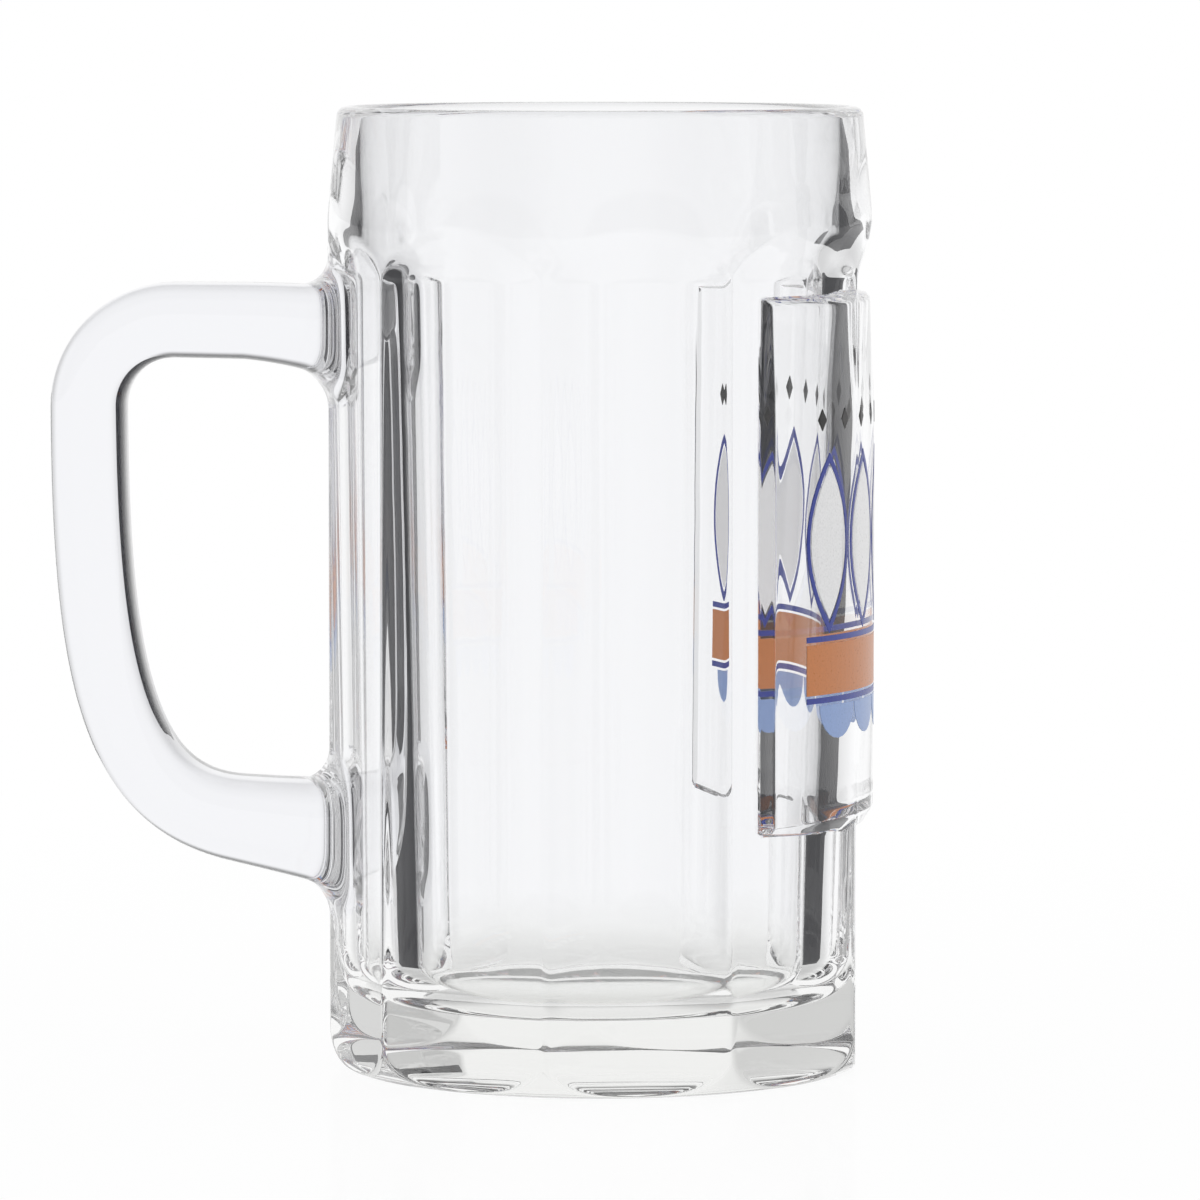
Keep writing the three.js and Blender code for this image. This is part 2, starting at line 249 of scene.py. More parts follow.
class GlassLookSettings(PropertyGroup):
    """Look of the clear glass."""

    wall_tint: colour("Wall tint", "Colour of thin glass", (0.985, 0.988, 0.997))
    handle_tint: colour("Handle tint", "Colour of the handle's glass", (0.928, 0.933, 0.958))
    base_tint: colour("Base tint", "Colour of the thick glass near the foot", (0.882, 0.885, 0.872))
    tint_level: length("Tint level", "Height below which the body takes the base tint", 24)
    full_tint_level: length("Full tint level", "Height below which the base tint is full", 12)
    refraction: number("Refraction", "Index of refraction of soda-lime glass", 1.52)
    roughness: number("Roughness", "Roughness of the polished surface", 0.0)
    ripple: number("Ripple", "Strength of the mould's faint ripples", 0.02)
    ripple_size: length("Ripple size", "Spacing of the mould's ripples", 9)
    ripple_depth: length("Ripple depth", "Depth of the mould's ripples at full strength", 1)


class PrintLookSettings(PropertyGroup):
    """Look of the fired print."""

    copper: colour("Copper", "Band across the label field", (0.62, 0.22, 0.07))
    blue: colour("Blue", "Lines and leaf outlines", (0.03, 0.05, 0.32))
    sky: colour("Sky", "Scallops under the band", (0.30, 0.42, 0.72))
    white: colour("White", "Leaves", (0.93, 0.93, 0.935))
    black: colour("Black", "Diamonds", (0.012, 0.010, 0.010))
    unevenness: number("Unevenness", "How much darker the ink's flecks are", 0.07)
    # Painted glow: strength of an emission in the ink's own colour on its back, standing in for light that
    # shines through the ink
    translucency: number("Translucency", "Share of the ink's light that shines through to its back", 0.45)
    depth: length("Depth", "How deep the ink is fired into the glass", 0.08)
    proud: length("Proud", "How far the ink stands out of the glass", 0.06)
    grain_size: length("Grain size", "Size of the ink's grain", 0.35)
    grain_depth: length("Grain depth", "Depth of the ink's grain at full strength", 0.05)
    grain_strength: number("Grain strength", "Strength of the ink's grain", 0.15)
    least_roughness: number("Least roughness", "Roughness of the ink where its grain is low", 0.22)
    most_roughness: number("Most roughness", "Roughness of the ink where its grain is high", 0.38)


class StageSettings(PropertyGroup):
    """Camera, room, dark screens and floor."""

    camera_distance: length("Camera distance", "Level distance of the camera from the glass axis", 1230.8)
    camera_height: length("Camera height", "Height of the camera above the floor", 175.65)
    camera_pitch: angle("Camera pitch", "Angle by which the camera looks down", 4.683)
    camera_turn: angle("Camera turn", "Angle by which the camera stands towards the label field", 1.83)
    focal_length: number("Focal length", "Lens in millimetres on a 36 mm sensor", 230.75)
    light_bounces: count("Light bounces", "How often a ray may meet the glass", 32)
    white: colour("White", "Colour of the studio's white", (1.0, 1.0, 1.0))
    room_light: number("Room light", "Strength of the light that the room gives to matt surfaces", 0.9)
    ceiling: number("Ceiling", "Brightness of the ceiling where the glass shows it", 0.15)
    under: number("Under", "Brightness straight below where the glass shows it", 0.93)
    sides: number("Sides", "Brightness far to the left and right where the glass shows it", 0.65)
    front: number("Front", "Brightness of the room on the camera's side where the glass shows it", 0.6)
    screen_distance: length("Screen distance", "Distance of the dark screens from the glass axis", 280)
    screen_bottom: length("Screen bottom", "Height of the dark screens' lower edge", -70)
    left_screen_top: length("Left screen top", "Height of the left screen's upper edge", 500)
    left_screen_foot: angle("Left screen foot", "Bearing of the left screen's inner edge at its foot", -54)
    left_screen_head: angle("Left screen head", "Bearing of the left screen's inner edge at its top", -17)
    left_screen_end: angle("Left screen end", "Bearing of the left screen's outer edge", -88)
    right_screen_top: length("Right screen top", "Height of the right screen's upper edge", 150)
    right_screen_foot: angle("Right screen foot", "Bearing of the right screen's inner edge at its foot", 57)
    right_screen_head: angle("Right screen head", "Bearing of the right screen's inner edge at its top", 28)
    right_screen_end: angle("Right screen end", "Bearing of the right screen's outer edge", 86)
    screen_colour: colour("Screen colour", "Colour of the dark screens", (0.012, 0.0125, 0.018))
    floor_colour: colour("Floor colour", "Colour of the floor near the mug", (0.93, 0.93, 0.935))
    floor_roughness: number("Floor roughness", "Roughness of the floor's faint gloss", 0.12)
    floor_gloss: number("Floor gloss", "Specular level of the floor's faint gloss", 0.3)
    floor_white: number("Floor white", "Share of plain white in the floor next to the mug", 0.93)
    floor_fade_start: length("Fade start", "Distance at which the floor starts to fade to white", 120)
    floor_fade_end: length("Fade end", "Distance at which the floor is white", 420)


class MugSettings(PropertyGroup):
    """All settings of the mug and its studio."""

    body: PointerProperty(type=GlassBodySettings, name="Body", description="Pressed glass body")
    label: PointerProperty(type=LabelFieldSettings, name="Label field", description="Raised label field")
    handle: PointerProperty(type=HandleSettings, name="Handle", description="Loop handle")
    glass: PointerProperty(type=GlassLookSettings, name="Glass", description="Look of the glass")
    ink: PointerProperty(type=PrintLookSettings, name="Print", description="Look of the fired print")
    stage: PointerProperty(type=StageSettings, name="Stage", description="Camera, room and floor")


def soft_min(first, second, softness):
    """The smaller of two values, with the crossing rounded off."""
    overlap = np.maximum(softness - np.abs(first - second), 0) / softness
    return np.minimum(first, second) - overlap**2 * softness / 4


def soft_max(first, second, softness):
    """The larger of two values, with the crossing rounded off."""
    return -soft_min(-first, -second, softness)


def soft_ramp(value, softness):
    """Zero below zero and the value itself above, with the corner rounded off."""
    return (value + np.sqrt(value**2 + softness**2)) / 2


def smooth_step(value, start, end):
    """A share that rises smoothly from 0 at start to 1 at end."""
    share = np.clip((value - start) / (end - start), 0, 1)
    return share * share * (3 - 2 * share)


def crowded(start, end, steps, places, reach, weight):
    """Numbers from start to end in so many steps, closer together near the given places."""
    fine = np.linspace(start, end, CROWDING_SAMPLES)
    density = np.ones_like(fine)
    for place in places:
        density += weight * np.exp(-(((fine - place) / reach) ** 2))
    share = np.cumsum(density)
    share = (share - share[0]) / (share[-1] - share[0])
    return np.interp(np.linspace(0, 1, steps + 1), share, fine)


def facet_top(body):
    """Height at which the flats start to run out."""
    return HEIGHT - body.rim_band - body.runout_drop


def blank_radius(height, body):
    """Radius of the turned blank before the flats are pressed: foot, side and rim band."""
    band_bottom = HEIGHT - body.rim_band
    band_share = (height - band_bottom) / (body.rim_band - body.rim_wall / 2)
    side = soft_min(BODY_RADIUS, BODY_RADIUS - body.rim_taper * band_share, body.edge_softness)
    below = np.clip(1 - height / body.foot_round_height, 0, 1)
    foot = BODY_RADIUS - body.foot_round_width * (1 - np.sqrt(1 - below**2))
    return np.minimum(side, foot)


def facet_radius(turn, height, body):
    """Radius of the flats, with the slope that runs out above each of them."""
    pitch = 2 * math.pi / body.facet_count
    half = pitch / 2 - math.asin(body.edge_land / 2 / BODY_RADIUS)
    above = height - facet_top(body)
    ramp = soft_ramp(above, body.runout_softness)
    from_middle = turn - pitch * np.round(turn / pitch)
    return (BODY_RADIUS * math.cos(half) + body.runout_slope * ramp) / np.cos(from_middle)


def distance_aside(turn, label):
    """Square of the way from the label field's middle to its sides: 0 in the middle, 1 past the sides."""
    return np.minimum(np.abs(turn) / label.half_angle, 1) ** 2


def label_radius(turn, height, label):
    """Radius of the raised label field, bevelled along its edges and falling away steeply past them.

    The turn counts from the field's middle, up to half a circle either way.
    """
    aside = distance_aside(turn, label)
    from_side = LABEL_RADIUS * (label.half_angle - np.abs(turn))
    from_top = label.top - height
    from_bottom = height - label.bottom - label.bottom_rise * aside
    bottom_width = label.bottom_bevel * (1 - label.bottom_narrowing * aside)
    soft = label.bevel_softness
    side = label.side_slope * soft_ramp(label.side_bevel - from_side, soft)
    top = label.top_slope * soft_ramp(label.top_bevel - from_top, soft)
    bottom = label.bottom_slope * soft_ramp(bottom_width - from_bottom, soft)
    bevels = soft_max(soft_max(side, top, soft), bottom, soft)
    short_across = np.maximum(label.corner - from_side, 0)
    short_along = np.maximum(label.corner - np.minimum(from_top, from_bottom), 0)
    past_edge = np.maximum(np.hypot(short_across, short_along) - label.corner, 0)
    lean = label.shoulder_drop * smooth_step(height, label.shoulder, label.top)
    return LABEL_RADIUS - lean - bevels - label.wall_draft * past_edge


def outside_radius(turn, height, mug):
    """Radius of the finished outside wall."""
    body, label = mug.body, mug.label
    top, arch = facet_top(body), body.runout_softness
    near_arch = smooth_step(height, top + ARCH_START * arch, top + ARCH_FULL * arch)
    softness = body.edge_softness + (arch - body.edge_softness) * near_arch
    pressed = soft_min(blank_radius(height, body), facet_radius(turn, height, body), softness)
    return soft_max(pressed, label_radius(turn, height, label), label.root_softness)


def arc(centre, radii, start, end, steps):
    """Points of an elliptic arc about a centre, without its first point, as radius and height."""
    turns = np.radians(np.linspace(start, end, steps + 1)[1:])
    return np.stack([centre[0] + radii[0] * np.cos(turns), centre[1] + radii[1] * np.sin(turns)], 1)


def straight(start, end, steps):
    """Points of a straight stretch, without its first point, as radius and height."""
    return np.linspace(start, end, steps + 1)[1:]


def inside_profile(body):
    """Profile from the middle of the inside floor up the wall and over the rim, as radius and height."""
    lip = body.rim_wall / 2
    lip_level = HEIGHT - lip
    floor_level = body.base_thickness
    bore_mouth = BODY_RADIUS - body.rim_taper - body.rim_wall
    corner_level = floor_level + body.bore_corner
    corner_radius = bore_mouth - body.bore_draft * (lip_level - corner_level)
    floor_radius = corner_radius - body.bore_corner
    middle = (0, floor_level)
    floor = straight(middle, (floor_radius, floor_level), INSIDE_FLOOR_STEPS)
    corner = arc((floor_radius, corner_level), (body.bore_corner,) * 2, -90, 0, BORE_CORNER_STEPS)
    wall = straight((corner_radius, corner_level), (bore_mouth, lip_level), BORE_WALL_STEPS)
    rim = arc((bore_mouth + lip, lip_level), (lip, lip), 180, 0, LIP_STEPS)
    return np.concatenate([[middle], floor, corner, wall, rim])


def wall_levels(mug):
    """Heights of the rows on the outside wall, from the rim down to the foot."""
    body, label = mug.body, mug.label
    busy = [
        *(facet_top(body) + rise for rise in ARCH_ROWS), HEIGHT - body.rim_band,
        label.top, label.top - label.top_bevel, label.bottom, label.bottom + label.bottom_bevel,
    ]
    lip_level = HEIGHT - body.rim_wall / 2
    upright = crowded(lip_level, body.foot_round_height, body.wall_rows, busy, ROW_REACH, ROW_WEIGHT)[1:]
    foot_turns = np.linspace(0, math.pi / 2, FOOT_STEPS + 1)[1:]
    foot = body.foot_round_height * (1 - np.sin(foot_turns))
    return np.concatenate([upright, foot])


def wall_turns(mug):
    """Turns of the columns once round the axis, crowded at the edges of the flats and the label field."""
    body, label = mug.body, mug.label
    pitch = 2 * math.pi / body.facet_count
    corners = [math.pi - i * pitch for i in range(body.facet_count + 1)]
    face_edge = label.half_angle - label.side_bevel / LABEL_RADIUS
    edges = [-label.half_angle, -face_edge, face_edge, label.half_angle]
    reach = COLUMN_REACH / BODY_RADIUS
    turns = crowded(-math.pi, math.pi, body.columns, [*corners, *edges], reach, COLUMN_WEIGHT)
    turns[-1] = turns[0]
    return turns


def underside_profile(body):
    """Profile from the outer edge of the foot ring to the middle of the hollow, as radius and height."""
    foot_radius = BODY_RADIUS - body.foot_round_width
    hollow = foot_radius - body.foot_ring
    ring = straight((foot_radius, 0), (hollow, 0), FOOT_RING_STEPS)
    dome = arc((0, 0), (hollow, body.push_up), 0, 90, HOLLOW_STEPS)
    return np.concatenate([ring, dome])


def body_places(mug):
    """Points of the body's skin: a row for each step of its profile, a column for each turn."""
    body, label = mug.body, mug.label
    turns = wall_turns(mug)
    levels = wall_levels(mug)[:, None]
    near_end = 1 - smooth_step(np.abs(levels - label.bottom), FOLLOW_FULLY, FOLLOW_AT_ALL)
    levels = levels + near_end * label.bottom_rise * distance_aside(turns, label)
    wall = outside_radius(turns, levels, mug)
    inner, under = inside_profile(body), underside_profile(body)
    spread = np.ones((1, len(turns)))
    radius = np.concatenate([inner[:, :1] * spread, wall, under[:, :1] * spread])
    height = np.concatenate([inner[:, 1:] * spread, levels, under[:, 1:] * spread])
    return np.stack([AXIS_X + radius * np.cos(turns), radius * np.sin(turns), height], 2)


def wall_reach(across, height, mug):
    """Distance from the glass axis to the outside wall on the handle's side, at a place across and up."""
    reach = np.full(np.broadcast(across, height).shape, BODY_RADIUS)
    for _ in range(WALL_SEARCH_ROUNDS):
        radius = outside_radius(np.arctan2(across, -reach), height, mug)
        reach = np.sqrt(radius**2 - across**2)
    return reach


def cubic(start, first_pull, last_pull, end, steps):
    """Points and directions along a cubic curve between two ends, without its first point."""
    share = np.linspace(0, 1, steps + 1)[1:, None]
    rest = 1 - share
    place = (
        rest**3 * start + 3 * rest**2 * share * first_pull
        + 3 * rest * share**2 * last_pull + share**3 * end
    )
    way = (
        rest**2 * (first_pull - start) + 2 * rest * share * (last_pull - first_pull)
        + share**2 * (end - last_pull)
    )
    return place, way / np.linalg.norm(way, axis=1, keepdims=True)


def loop_path(handle):
    """Points and directions of the loop's centre line between its two arms, in X and Z about the axis."""
    grip_x = handle.grip_thickness / 2 - HANDLE_REACH
    upper_level = HEIGHT - handle.upper_arm_drop
    bend_centre = np.array([grip_x + handle.upper_bend, upper_level - handle.upper_bend])
    turns = np.radians(np.linspace(90, 180, BEND_STEPS + 1))
    bend = bend_centre + handle.upper_bend * np.stack([np.cos(turns), np.sin(turns)], 1)
    bend_ways = np.stack([-np.sin(turns), np.cos(turns)], 1)
    grip_start = bend[-1]
    grip_end = np.array([-BODY_RADIUS - handle.lower_arm_length, handle.lower_arm_level])
    arm_way = np.array([1, -handle.lower_arm_slope])
    grip, grip_ways = cubic(
        grip_start,
        grip_start - [0, handle.grip_curve_drop],
        grip_end - handle.lower_curve_pull * arm_way,
        grip_end,
        GRIP_STEPS,
    )
    return np.concatenate([bend, grip]), np.concatenate([bend_ways, grip_ways])


def root_rows(handle):
    """Rows from the middle of a root's fused face out along the arm, and how many of them are fused.

    Each row has its distance from the wall, its growth and its share of the whole section.
    """
    fillet = handle.root_fillet
    fused = [(-handle.weld_depth, fillet, share) for share in np.linspace(0, 1, FUSED_STEPS + 1)]
    leans = np.radians(np.linspace(90, 0, FILLET_STEPS + 1))
    flare = [
        (handle.weld_lift + fillet * (1 - math.sin(lean)), fillet * (1 - math.cos(lean)), 1.0)
        for lean in leans
    ]
    distances = np.linspace(fillet, handle.lower_arm_length, ARM_STEPS + 1)[1:-1]
    arm = [(distance, 0.0, 1.0) for distance in distances]
    return [*fused, *flare, *arm], len(fused)


def towards_root(distance, reach):
    """Share of its full swell that an arm has at a distance from the wall, none of it past the reach."""
    return np.clip(1 - np.maximum(distance, 0) / reach, 0, 1) ** 2


def section(handle, growth):
    """Offsets of the oval section in the handle's plane and across it."""
    turns = np.linspace(0, 2 * math.pi, handle.section_columns + 1)
    turns[-1] = turns[0]
    flat = [np.sign(wave) * np.abs(wave) ** handle.squareness for wave in (np.cos(turns), np.sin(turns))]
    return (handle.grip_thickness / 2 + growth) * flat[0], (handle.width / 2 + growth) * flat[1]


def ring_about(place, way, handle, growth, share=1.0):
    """Points of one section, square to the centre line, about the glass axis."""
    out, across = section(handle, growth)
    x = place[0] + way[1] * out * share
    z = place[1] - way[0] * out * share
    return np.stack([x, across * share, z], 1)


def root_rings(start, way, run, swell, sag, reach, mug):
    """Sections from a root's fused face outwards, and how many of them are fused.

    The arm leaves the wall along way, and run is 1 where the loop runs that way too, or else -1. Within
    its reach of the wall the arm swells and sags, and closer to it the sections bend to follow the wall.
    """
    handle = mug.handle
    rings = []
    rows, fused_count = root_rows(handle)
    for distance, growth, share in rows:
        near = towards_root(distance, reach)
        centre = start + distance * way - np.array([0, sag * near])
        ring = ring_about(centre, run * way, handle, growth + swell * near, share)
        from_wall = (ring[:, 0] + wall_reach(ring[:, 1], ring[:, 2], mug)) / way[0]
        follow = 1 - smooth_step(distance, 0, handle.root_follow)
        shift = follow * (distance - from_wall)
        ring[:, 0] += shift * way[0]
        ring[:, 2] += shift * way[1]
        rings.append(ring)
    return rings, fused_count


def handle_places(mug):
    """Points of the handle's skin, a row for each section, and how many rows at each end are fused."""
    handle = mug.handle
    slope = handle.lower_arm_slope
    upper = np.array([-BODY_RADIUS, HEIGHT - handle.upper_arm_drop])
    upper_out = np.array([-1.0, 0.0])
    upper_change = (handle.upper_swell, handle.upper_sag, handle.upper_swell_length)
    lower = np.array([-BODY_RADIUS, handle.lower_arm_level - slope * handle.lower_arm_length])
    lower_out = np.array([-1, slope]) / math.hypot(1, slope)
    lower_change = (handle.lower_swell, 0.0, handle.lower_swell_length)
    first, fused_count = root_rings(upper, upper_out, 1, *upper_change, mug)
    last, _ = root_rings(lower, lower_out, -1, *lower_change, mug)
    places, ways = loop_path(handle)
    steps = np.linalg.norm(np.diff(places, axis=0), axis=1)
    to_wall = handle.lower_arm_length + np.append(np.cumsum(steps[::-1])[::-1], 0)
    swells = handle.lower_swell * towards_root(to_wall, handle.lower_swell_length)
    middle = [ring_about(place, way, handle, swell) for place, way, swell in zip(places, ways, swells)]
    rings = np.array([*first, *middle, *reversed(last)])
    rings[:, :, 0] += AXIS_X
    return rings, fused_count


def pick(piece):
    """Select one object alone and make it the active one."""
    bpy.ops.object.select_all(action="DESELECT")
    piece.select_set(True)
    bpy.context.view_layer.objects.active = piece


def mesh_points(piece):
    """Places of a mesh's points, one row for each."""
    flat = np.empty(len(piece.data.vertices) * 3)
    piece.data.vertices.foreach_get("co", flat)
    return flat.reshape(-1, 3)


def move_points(piece, places):
    """Put the points of a mesh at new places."""
    piece.data.vertices.foreach_set("co", places.ravel())
    piece.data.update()


def flat_grid(name, columns, rows, side=1):
    """A flat square grid about the origin."""
    bpy.ops.object.select_all(action="DESELECT")
    bpy.ops.mesh.primitive_grid_add(x_subdivisions=columns, y_subdivisions=rows, size=side)
    grid = bpy.context.object
    grid.name = grid.data.name = name
    return grid


def grid_shares(grid):
    """How far across and along a grid of side 1 each of its points lies, from 0 to 1."""
    share = mesh_points(grid) + 0.5
    return share[:, 0], share[:, 1]


def merge_doubles(piece, outward=False):
    """Merge the points that lie on each other, and turn a new skin's faces outwards."""
    pick(piece)
    bpy.ops.object.mode_set(mode="EDIT")
    bpy.ops.mesh.select_all(action="SELECT")
    bpy.ops.mesh.remove_doubles(threshold=MERGE_DISTANCE)
    if outward:
        bpy.ops.mesh.normals_make_consistent(inside=False)
    bpy.ops.object.mode_set(mode="OBJECT")


def rolled_skin(name, places, fused_rows=0):
    """A closed mesh rolled up from a flat grid: rows run along the piece, columns run round it."""
    rows, columns = places.shape[0] - 1, places.shape[1] - 1
    piece = flat_grid(name, columns, rows)
    across, along = grid_shares(piece)
    row = np.rint(along * rows).astype(int)
    column = np.rint(across * columns).astype(int)
    move_points(piece, places[row, column])
    for face in piece.data.polygons:
        face_rows = [row[v] for v in face.vertices]
        fused = max(face_rows) <= fused_rows or min(face_rows) >= rows - fused_rows
        face.material_index = FUSED_FACE if fused_rows and fused else GLASS_FACE
    merge_doubles(piece, outward=True)
    return piece


def cut_out(piece, cutter):
    """Cut the shape of another object out of a piece."""
    modifier = piece.modifiers.new("Seat", "BOOLEAN")
    modifier.operation = "DIFFERENCE"
    modifier.object = cutter
    modifier.solver = "EXACT"
    pick(piece)
    bpy.ops.object.modifier_apply(modifier=modifier.name)


def smooth(piece, sharp):
    """Smooth shading, with edges sharper than an angle kept."""
    pick(piece)
    bpy.ops.object.shade_smooth_by_angle(angle=sharp)


def new_material(name):
    """A material with a plain Principled shader, and that shader."""
    material = bpy.data.materials.new(name)
    material.use_nodes = True
    return material, material.node_tree.nodes["Principled BSDF"]


def add_node(tree, kind, **settings):
    """A new shader node with its settings."""
    node = tree.nodes.new(kind)
    for name, value in settings.items():
        setattr(node, name, value)
    return node


def set_inputs(node, values):
    """Set plain values on the named sockets of a node."""
    for name, value in values.items():
        node.inputs[name].default_value = value


def smooth_range(tree, value, start, end, first=0.0, last=1.0):
    """A value that goes smoothly from first to last while another one goes from start to end."""
    node = add_node(tree, "ShaderNodeMapRange", interpolation_type="SMOOTHSTEP")
    set_inputs(node, {"From Min": start, "From Max": end, "To Min": first, "To Max": last})
    tree.links.new(value, node.inputs["Value"])
    return node.outputs["Result"]


def mixed_colour(tree, factor, first, last):
    """A colour that goes from first to last while the factor goes from 0 to 1."""
    node = add_node(tree, "ShaderNodeMix", data_type="RGBA")
    set_inputs(node, {"A": first, "B": last})
    tree.links.new(factor, node.inputs["Factor"])
    return node.outputs["Result"]


def combined(tree, operation, first, second):
    """Two values joined by a mathematical operation."""
    node = add_node(tree, "ShaderNodeMath", operation=operation)
    tree.links.new(first, node.inputs[0])
    tree.links.new(second, node.inputs[1])
    return node.outputs[0]


def grain_group():
    """Shared effect: a fine grain on Object coordinates, as a mask and a height."""
    if "surface_grain" in bpy.data.node_groups:
        return bpy.data.node_groups["surface_grain"]
    group = bpy.data.node_groups.new("surface_grain", "ShaderNodeTree")
    for end, names in (("INPUT", ("Scale", "Detail")), ("OUTPUT", ("Mask", "Height"))):
        for name in names:
            group.interface.new_socket(name, in_out=end, socket_type="NodeSocketFloat")
    inputs = add_node(group, "NodeGroupInput")
    outputs = add_node(group, "NodeGroupOutput")
    place = add_node(group, "ShaderNodeTexCoord")
    noise = add_node(group, "ShaderNodeTexNoise")
    group.links.new(place.outputs["Object"], noise.inputs["Vector"])
    group.links.new(inputs.outputs["Scale"], noise.inputs["Scale"])
    group.links.new(inputs.outputs["Detail"], noise.inputs["Detail"])
    mask = smooth_range(group, noise.outputs["Fac"], GRAIN_LOW, GRAIN_HIGH)
    group.links.new(mask, outputs.inputs["Mask"])
    group.links.new(noise.outputs["Fac"], outputs.inputs["Height"])
    return group


def grain(tree, size, detail):
    """The shared grain, placed in a material with its own size and detail."""
    node = add_node(tree, "ShaderNodeGroup", node_tree=grain_group())
    set_inputs(node, {"Scale": 1 / size, "Detail": detail})
    return node


def add_bump(tree, shader, height, strength, depth):
    """Let a height that changes over the surface bend the shader's normal."""
    bump = add_node(tree, "ShaderNodeBump")
    set_inputs(bump, {"Strength": strength, "Distance": depth})
    tree.links.new(height, bump.inputs["Height"])
    tree.links.new(bump.outputs["Normal"], shader.inputs["Normal"])


def clear_glass(name, tint, look):
    """Pressed soda-lime glass with the mould's faint ripples."""
    material, shader = new_material(name)
    tree = material.node_tree
    set_inputs(shader, {
        "Base Color": tint,
        "Roughness": look.roughness,
        "IOR": look.refraction,
        "Transmission Weight": 1.0,
    })
    ripple = grain(tree, look.ripple_size, RIPPLE_DETAIL)
    add_bump(tree, shader, ripple.outputs["Height"], look.ripple, look.ripple_depth)
    return material


def body_glass(name, look):
    """The body's glass, which takes a deeper tint in the thick base."""
    material = clear_glass(name, look.wall_tint, look)
    tree = material.node_tree
    place = add_node(tree, "ShaderNodeTexCoord")
    split = add_node(tree, "ShaderNodeSeparateXYZ")
    tree.links.new(place.outputs["Object"], split.inputs["Vector"])
    depth = smooth_range(tree, split.outputs["Z"], look.tint_level, look.full_tint_level)
    tint = mixed_colour(tree, depth, look.wall_tint, look.base_tint)
    tree.links.new(tint, tree.nodes["Principled BSDF"].inputs["Base Color"])
    return material


def fused_glass():
    """Inside faces where the handle and the body are one glass, so nothing shows there."""
    if "fused_glass" in bpy.data.materials:
        return bpy.data.materials["fused_glass"]
    material, shader = new_material("fused_glass")
    set_inputs(shader, {"Alpha": 0.0})
    return material


def fired_ink(name, rgb, painted_glow, look):
    """Glass enamel: glossy, with a fine grain, a slightly uneven colour and a painted glow in its own
    colour, which stands in for light shining through it.
    """
    material, shader = new_material(name)
    tree = material.node_tree
    # Painted glow: emission in the ink's own colour, standing in for light that shines through the ink
    set_inputs(shader, {"Emission Strength": painted_glow})
    fleck = grain(tree, look.grain_size, INK_DETAIL)
    dark = (*((1 - look.unevenness) * part for part in rgb[:3]), 1.0)
    shade = mixed_colour(tree, fleck.outputs["Mask"], dark, rgb)
    gloss = add_node(tree, "ShaderNodeMapRange")
    set_inputs(gloss, {"To Min": look.least_roughness, "To Max": look.most_roughness})
    tree.links.new(shade, shader.inputs["Base Color"])
    tree.links.new(shade, shader.inputs["Emission Color"])
    tree.links.new(fleck.outputs["Height"], gloss.inputs["Value"])
    tree.links.new(gloss.outputs["Result"], shader.inputs["Roughness"])
    add_bump(tree, shader, fleck.outputs["Height"], look.grain_strength, look.grain_depth)
    return material


class MUG_OT_glass_handle(Operator):
    """Sweep the loop handle and flare its roots onto the body"""

    bl_idname = "mug.glass_handle"
    bl_label = "Glass Handle"

    def execute(self, context):
        mug = context.scene.mug
        places, fused_count = handle_places(mug)
        handle = rolled_skin("mug_handle", places, fused_rows=fused_count)
        handle.data.materials.append(clear_glass("handle_glass", mug.glass.handle_tint, mug.glass))
        handle.data.materials.append(fused_glass())
        smooth(handle, SHARP_GLASS)
        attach(handle, "root")
        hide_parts("glass_handle")
        return {"FINISHED"}


class MUG_OT_glass_body(Operator):
    """Roll up the faceted body and seat the handle's roots in it"""

    bl_idname = "mug.glass_body"
    bl_label = "Glass Body"

    def execute(self, context):
        mug = context.scene.mug
        body = rolled_skin("mug_body", body_places(mug))
        body.data.materials.append(body_glass("pressed_glass", mug.glass))
        body.data.materials.append(fused_glass())
        cut_out(body, bpy.data.objects["mug_handle"])
        smooth(body, SHARP_GLASS)
        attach(body, "root")
        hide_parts("glass_body")
        return {"FINISHED"}


class MUG_OT_fired_print(Operator):
    """Seat each patch of ink in the face of the label field"""

    bl_idname = "mug.fired_print"
    bl_label = "Fired Print"

    def execute(self, context):
        mug = context.scene.mug
        slots = {row["node"]: row["material_slot"] for row in frame["record"]["subparts"]}
        inks = {}
        for node in PRINT_NODES:
            slot = slots[node]
            if slot not in inks:
                inks[slot] = self.front_and_back(slot, mug.ink)
            patch = self.seated_patch(node, mug)
            patch.data.materials.clear()
            for ink in inks[slot]:
                patch.data.materials.append(ink)
            self.mark_back(patch)
            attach(patch, "root")
            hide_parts(node)
        return {"FINISHED"}

    def front_and_back(self, slot, look):
        """An ink for the front of a patch, and one for its back, with a painted glow that stands in for
        light shining through the ink.
        """
        tone = slot.removeprefix("ink_")
        rgb = getattr(look, tone)
        front = fired_ink(f"fired_ink_{tone}", rgb, 0.0, look)
        # The back ink glows with painted light, an emission that stands in for light shining through the ink
        back = fired_ink(f"fired_ink_{tone}_back", rgb, look.translucency, look)
        return front, back

    def mark_back(self, patch):
        """Give the faces that look into the glass the ink with the painted glow."""
        for face in patch.data.polygons:
            outward = face.normal.x * (face.center.x - AXIS_X) + face.normal.y * face.center.y
            face.material_index = INK_GLOWING_BACK if outward < 0 else INK_FRONT

    def seated_patch(self, node, mug):
        """A merged copy of a CAD patch, moved onto the face of the label field."""
        source = frame["nodes"][node]
        patch = bpy.data.objects.new(f"fired_{node}", source.data.copy())
        bpy.context.scene.collection.objects.link(patch)
        places = mesh_points(patch)
        turn = np.arctan2(places[:, 1], places[:, 0] - AXIS_X)
        radius = np.hypot(places[:, 1], places[:, 0] - AXIS_X)
        front = radius > (radius.min() + radius.max()) / 2
        face = label_radius(turn, places[:, 2], mug.label)
        seat = face + np.where(front, mug.ink.proud, -mug.ink.depth)
        places[:, 0] = AXIS_X + seat * np.cos(turn)
        places[:, 1] = seat * np.sin(turn)
        move_points(patch, places)
        merge_doubles(patch)
        smooth(patch, SHARP_INK)
        return patch


